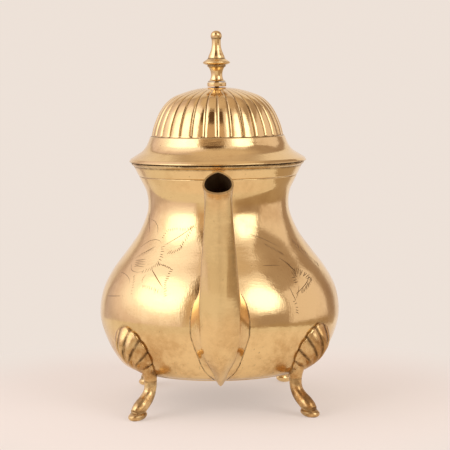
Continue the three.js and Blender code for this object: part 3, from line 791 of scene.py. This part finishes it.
wrapped_grid(seam_mesh, 8, 260, seam_point)
bmesh.ops.holes_fill(seam_mesh, edges=[edge for edge in seam_mesh.edges if edge.is_boundary])
for vert in seam_mesh.verts:
    vert[seam_grime] = 0.45 + 0.4 * smooth_share(noise.noise(vert.co * 0.5), -0.2, 0.35)
made("spout_solder", seam_mesh, [cast_brass], "pot", crisp=180)

# ---------------------------------------------------------------- Feet
# Four castings from one pattern: a scallop shell over the knee, a round ankle and a toe that turns
# out onto a small pad. They are soldered to the belly by hand, not quite evenly.

shell_edge, shell_bulge = 1.7, 6.4
hub_across, hub_height = 1.5, 40
fan_across, fan_height = 8.0, 24.0
rib_turn = math.radians(13.2)
leg_line = [
    (64.4, 36, 4.6), (62.2, 29.5, 4.5), (60.9, 24.5, 4.1), (60.6, 20.5, 3.8), (61, 17, 3.7),
    (62.3, 13.8, 3.8), (64.9, 10.8, 4.1), (68.4, 8, 4.3), (71.6, 5.4, 4), (74, 4, 3),
]


def shell_reach(turn):
    """How far the shell's edge is from its hub in a direction."""
    side, up = math.sin(turn) / shell_half, math.cos(turn) / shell_tall
    hub_side, hub_up = hub_across / shell_half, (hub_height - shell_middle) / shell_tall
    square, lean = side * side + up * up, side * hub_side + up * hub_up
    return (-lean + math.sqrt(lean * lean - square * (hub_side * hub_side + hub_up * hub_up - 1))) / square


def shell_rib(across, height):
    """How strongly the ribs show at a point of the shell, and how high the rib stands there."""
    turn = math.atan2(fan_across - across, height - fan_height)
    from_root = math.hypot(fan_across - across, height - fan_height)
    rib = abs(math.sin(math.pi * (turn + math.radians(3)) / rib_turn)) ** 0.75
    return smooth_share(from_root, 10, 16) * smooth_share(math.radians(84) - turn, 0, 0.2), rib


def shell_point(turn, share, inner):
    """A point of the shell, as a direction from the hub and a share of the way to the edge."""
    reach = shell_reach(turn)
    side, up = reach * math.sin(turn), reach * math.cos(turn)
    fade, rib = shell_rib(hub_across + side * share, hub_height + up * share)
    away = reach * share * (1 + 0.07 * fade * (rib - 0.6) * smooth_share(share, 0.5, 1))
    across, height = hub_across + away * math.sin(turn), hub_height + away * math.cos(turn)
    rise = (height - 43) / (12.6 if height > 43 else 17)
    dome = max(0, 1 - ((across - hub_across) / 12.2) ** 2 - rise * rise) ** 1.4
    lift = -1.2 if inner else shell_edge + shell_bulge * dome + 1.6 * fade * (rib - 1) * (0.3 + 0.7 * dome)
    if not inner and share > 0.97:
        lift *= 0.7
    return on_body(math.degrees((across + shell_axis(height)) / off_body(height, 0)[0]), height, lift)


def leg_point(turn, share):
    """A point of the leg below the shell, round and along its line."""
    (y, z, radius), (run_y, run_z, _) = along_line(leg_line, share)
    length = math.hypot(run_y, run_z)
    across = radius * math.cos(turn)
    return Vector((radius * math.sin(turn), -(y - run_z / length * across), z + run_y / length * across))


foot = bmesh.new()
wrapped_grid(foot, 220, 50, lambda turn, share: shell_point(turn, share, False))
wrapped_grid(foot, 220, 6, lambda turn, share: shell_point(turn, share, True))
bmesh.ops.remove_doubles(foot, verts=foot.verts, dist=1e-3)
bmesh.ops.bridge_loops(foot, edges=[edge for edge in foot.edges if edge.is_boundary])
wrapped_grid(foot, 24, 40, leg_point)
bmesh.ops.holes_fill(foot, edges=[edge for edge in foot.edges if edge.is_boundary])
pad_tilt = Matrix.Rotation(math.radians(8), 4, "X")
pad = Matrix.Translation((0, -71.6, 2.5)) @ pad_tilt @ Matrix.Diagonal((4.9, 6.4, 2.9, 1))
bmesh.ops.create_uvsphere(foot, u_segments=32, v_segments=20, radius=1, matrix=pad)
bmesh.ops.recalc_face_normals(foot, faces=foot.faces)
bmesh.ops.scale(foot, vec=(mm, mm, mm), verts=foot.verts)
rough_casting = bpy.data.meshes.new("rough casting")
foot.to_mesh(rough_casting)
foot.free()
pattern_foot = bpy.data.objects.new("pattern foot", rough_casting)
scene.collection.objects.link(pattern_foot)
remesh = pattern_foot.modifiers.new("remesh", "REMESH")
remesh.mode, remesh.voxel_size = "VOXEL", 0.00034
casting = bpy.data.meshes.new_from_object(pattern_foot.evaluated_get(bpy.context.evaluated_depsgraph_get()))
bpy.data.objects.remove(pattern_foot)


def foot_shade_and_grime(point):
    """Dark polish left in the grooves of the shell; painted shade along its edge and at the knee, where they
    come close to the belly, and at the top of the leg under the shell; a dark band above the toe's pad and
    dark patches on the leg.
    """
    radius = math.hypot(point.x, point.y)
    body_radius = off_body(max(23.4, point.z), 0)[0]
    if point.z < 22:
        toe = 0.6 * smooth_share(point.z, 3.4, 4.2) * (1 - smooth_share(point.z, 5.6, 7))
        toe *= smooth_share(radius, 68, 71)
        hollow = 0.45 * smooth_share(noise.noise(point * 0.22), 0, 0.35)
        # The top of the leg, under the shell, is darkened as painted shade.
        return max(toe, hollow, 0.5 * smooth_share(point.z, 20, 22))
    across = math.atan2(point.x, -point.y) * body_radius - shell_axis(point.z)
    fade, rib = shell_rib(across, point.z)
    share = math.hypot(across / shell_half, (point.z - shell_middle) / shell_tall)
    groove = 0.85 * fade * (1 - smooth_share(rib, 0.2, 0.62)) * (1 - smooth_share(share, 0.96, 1.03))
    # Painted shade where the foot comes close to the belly, and at the knee under the shell.
    root = 0.6 * (1 - smooth_share(radius - body_radius, 0.2, 1.0))
    knee = 0.6 * (1 - smooth_share(abs(point.z - 25.5), 1, 5))
    knee *= 1 - smooth_share(radius - body_radius, 1, 4)
    return max(groove, root, knee)


bm = bmesh.new()
bm.from_mesh(casting)
bmesh.ops.scale(bm, vec=(1 / mm, 1 / mm, 1 / mm), verts=bm.verts)
for _ in range(2):
    bmesh.ops.smooth_vert(bm, verts=bm.verts, factor=0.5, use_axis_x=True, use_axis_y=True, use_axis_z=True)
grime_and_shade = bm.verts.layers.float.new("grime_and_shade")
for vert in bm.verts:
    vert.co.z = max(0, vert.co.z)
    vert[grime_and_shade] = foot_shade_and_grime(vert.co)
bm.to_mesh(casting)
bm.free()
for corner, (turn, outward) in feet.items():
    bm = bmesh.new()
    bm.from_mesh(casting)
    bmesh.ops.scale(bm, vec=(outward, 1, 1), verts=bm.verts)
    bmesh.ops.rotate(bm, verts=bm.verts, cent=(0, 0, 0), matrix=Matrix.Rotation(math.radians(turn), 3, "Z"))
    made(f"cast_foot_{corner}", bm, [cast_brass], "pot", f"foot_{corner}", crisp=180)

# ---------------------------------------------------------------- Lid
# Pressed from sheet: a dome of convex flutes with sharp grooves between them, a plain upright band
# and a flared brim with a rolled edge.

flutes = 32
flute_depth = 1.05
dome_line = [
    (6, 194.8), (14.4, 193.5), (25.4, 189.9), (31.1, 185.9), (34.8, 181.1), (37.3, 176.1), (39.2, 171.1),
    (40.5, 165.9),
]
brim_line = [(41.3, 165.1), (42.5, 162), (43.6, 159.6), (45.9, 156.7), (49.5, 154.2), (53.4, 151.8)]
lid_wall = 1.0


def inward(points, share, offset):
    (radius, z), (across, down) = along_line(points, share)
    length = math.hypot(across, down)
    return radius + down / length * offset, z - across / length * offset


dome_steps = 72
lid_marks = [0] + [0.001 + i / dome_steps for i in range(dome_steps + 1)] + [2]
lid_outside = [(1.7, 194.95)] + [inward(dome_line, i / dome_steps, 0) for i in range(dome_steps + 1)]
lid_outside += [(40.6, 165.45)] + smooth_run(brim_line, 30)
rolled_edge = [
    (53.8 + 0.5 * math.cos(math.radians(a)), 150.3 + 0.5 * math.sin(math.radians(a)))
    for a in range(60, -181, -20)
]
lid_inside = [inward(brim_line, 1 - i / 16, lid_wall) for i in range(17)]
lid_inside += [
    inward(dome_line, 1 - i / 20, lid_wall + flute_depth * min(1, 2 * (1 - i / 20))) for i in range(21)
]
lid_outline = lid_outside + rolled_edge + lid_inside + [(1.7, 193.9)]
lid_mesh = spun(lid_outline, flutes * 12, marks=lid_marks + [0] * (len(lid_outline) - len(lid_marks)))
mark = lid_mesh.verts.layers.float["mark"]
grime_and_shade = lid_mesh.verts.layers.float["grime_and_shade"]
for vert in lid_mesh.verts:
    share = vert[mark]
    radius = math.hypot(vert.co.x, vert.co.y)
    if share == 0:
        # Painted shade on the underside of the brim's rolled edge.
        vert[grime_and_shade] = smooth_share(radius, 52.2, 53.2) * smooth_share(vert.co.z, 150.3, 149.8)
        continue
    if share > 1.5:
        vert[grime_and_shade] = 0.95
        continue
    across = 2 * ((math.atan2(vert.co.x, -vert.co.y) / math.tau * flutes) % 1) - 1
    ending = min(1, (1.001 - share) * 45 + 0.3)
    depth = flute_depth * min(1, 2.2 * share + 0.1) * ending
    trimmed = (radius - depth * (0.3 * across ** 2 + 0.7 * across ** 8)) / radius
    vert.co.x *= trimmed
    vert.co.y *= trimmed
    vert[grime_and_shade] = 0.9 * smooth_share(abs(across), 0.88, 1.0) * (1 if share > 0.05 else 0.6)
made("fluted_lid", lid_mesh, [sheet_brass], "lid", "lid_dome", crisp=50)

# ---------------------------------------------------------------- Lid bezel
# A strip of sheet bent into a ring inside the lid, which centres it in the mouth.


def rounded_ring(inner, outer, low, high, soft):
    """The closed outline of a ring whose outer corners are rounded."""
    outline = [(inner, low)]
    for corner_z, start in ((low + soft, -90), (high - soft, 0)):
        for i in range(7):
            turn = math.radians(start + 15 * i)
            outline.append((outer - soft + soft * math.cos(turn), corner_z + soft * math.sin(turn)))
    return outline + [(inner, high)]


bezel_low, bezel_high = (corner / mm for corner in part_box("lid_bezel"))
bezel_outline = rounded_ring(bezel_high.x - 1, bezel_high.x, bezel_low.z, bezel_high.z, 0.4)
made("lid_bezel_ring", spun(bezel_outline, 160), [stained_brass], "lid", "lid_bezel")

# ---------------------------------------------------------------- Finial
# Turned from rod: a plain collar on the dome, a waisted foot, a thin disc and a baluster knob.

collar_outline = rounded_ring(1.6, 5.85, 195.3, 197.9, 0.5)
made("finial_ring", spun(collar_outline, 64), [cast_brass], "lid", "finial_collar")

finial_runs = [
    smooth_run(
        [(5.4, 198.25), (5.3, 198.6), (4.3, 199.3), (3.75, 200.6), (3.5, 202.2), (3.75, 204.4), (4.5, 206.3),
         (5.1, 207.2)], 24,
    ),
    smooth_run([(5.5, 207.4), (5.75, 207.8), (5.5, 208.3)], 6),
    smooth_run(
        [(5.9, 208.5), (7.6, 209), (8.3, 209.7), (8.1, 210.4), (7.2, 211), (6.1, 211.7), (5.5, 212.2)], 18,
    ),
    smooth_run(
        [(5.2, 212.5), (4.9, 213.8), (4.1, 215.6), (3.2, 218), (2.8, 220.4), (2.75, 222.6), (2.9, 224.3)], 20,
    ),
    smooth_run([(3.15, 224.6), (3.4, 225.6), (3.35, 226.8), (2.75, 228.1), (1.6, 229.05), (0, 229.35)], 16),
]
finial_outline = [(1.6, 198.25)] + [point for run in finial_runs for point in run]
finial_outline += [(0, 206.3), (1.6, 206.3)]
finial_creases = (198.3, 207.3, 208.4, 212.4, 224.45)
finial_mesh = spun(finial_outline, 64)
grime_and_shade = finial_mesh.verts.layers.float["grime_and_shade"]
for vert in finial_mesh.verts:
    vert[grime_and_shade] = max(0.9 * math.exp(-(((vert.co.z - height) / 0.35) ** 2)) for height in finial_creases)
made("finial_knob", finial_mesh, [cast_brass], "lid", "finial", crisp=40)


def give_metal(metal, *nodes):
    """Gives carried-over solids a metal in place of their plain colour."""
    for node in nodes:
        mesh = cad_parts[node].data
        mesh.materials.clear()
        mesh.materials.append(metal)


give_metal(stained_brass, "finial_stud", "finial_washer", "finial_nut")

# ---------------------------------------------------------------- Handle
# A cast C-shaped grip with a bead at each end, pinned into two sockets that are soldered to the
# back of the body.

handle_line = [
    (59.3, 134.8), (63.6, 136.7), (80, 143.8), (92.5, 141), (99.9, 131.5), (101.8, 117), (100.6, 101),
    (95.4, 86), (85.5, 69.4), (82.4, 65.9),
]


def grip_point(turn, share):
    """A point of the grip, round and along its line, with the beads near its ends."""
    (y, z), (run_y, run_z) = along_line(handle_line, share)
    length = math.hypot(run_y, run_z)
    swell = math.sin(math.pi * share)
    bead = sum(math.exp(-(((share - spot) / 0.011) ** 2)) for spot in (0.13, 0.155, 0.87, 0.895))
    across = (3.7 + 0.45 * swell + 0.8 * bead) * math.cos(turn)
    sideways = (4.1 + 1.1 * swell + 0.8 * bead) * math.sin(turn)
    return Vector((sideways, y - run_z / length * across, z + run_y / length * across))


grip_mesh = bmesh.new()
wrapped_grid(grip_mesh, 32, 220, grip_point)
bmesh.ops.holes_fill(grip_mesh, edges=[edge for edge in grip_mesh.edges if edge.is_boundary])
made("handle", grip_mesh, [cast_brass], "pot", "handle_grip")


def softened(name, node, body, metal, rounding):
    """The solid as the CAD has it, with its edges eased as they are by filing and polishing."""
    bm = bmesh.new()
    bm.from_mesh(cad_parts[node].data)
    bmesh.ops.remove_doubles(bm, verts=bm.verts, dist=1e-6)
    bmesh.ops.dissolve_limit(bm, angle_limit=math.radians(0.4), verts=bm.verts, edges=bm.edges)
    bmesh.ops.scale(bm, vec=(1 / mm, 1 / mm, 1 / mm), verts=bm.verts)
    corners = [
        edge for edge in bm.edges if len(edge.link_faces) == 2 and edge.calc_face_angle() > math.radians(38)
    ]
    bmesh.ops.bevel(
        bm, geom=corners, offset=rounding, affect="EDGES", segments=2, profile=0.5, material=-1,
        clamp_overlap=True,
    )
    return made(name, bm, [metal], body, node, crisp=30)


softened("upper_socket", "handle_upper_socket", "pot", cast_brass, 0.35)
softened("lower_socket", "handle_lower_socket", "pot", cast_brass, 0.35)
softened("upper_socket_pin", "handle_upper_pin", "pot", stained_brass, 0.15)
softened("lower_socket_pin", "handle_lower_pin", "pot", stained_brass, 0.15)

# ---------------------------------------------------------------- Hinge
# Two straps cut and bent from thick sheet, one riveted to the lid and one to the body, with a pin
# through their knuckles.

softened("body_strap", "hinge_body_leaf", "pot", cast_brass, 0.2)
softened("lid_strap", "hinge_lid_leaf", "lid", cast_brass, 0.2)
softened("knuckle_pin", "hinge_pin", "pot", stained_brass, 0.2)
for side in ("left", "right"):
    softened(f"body_rivet_{side}", f"hinge_body_rivet_{side}", "pot", stained_brass, 0.2)
    softened(f"lid_rivet_{side}", f"hinge_lid_rivet_{side}", "lid", stained_brass, 0.2)
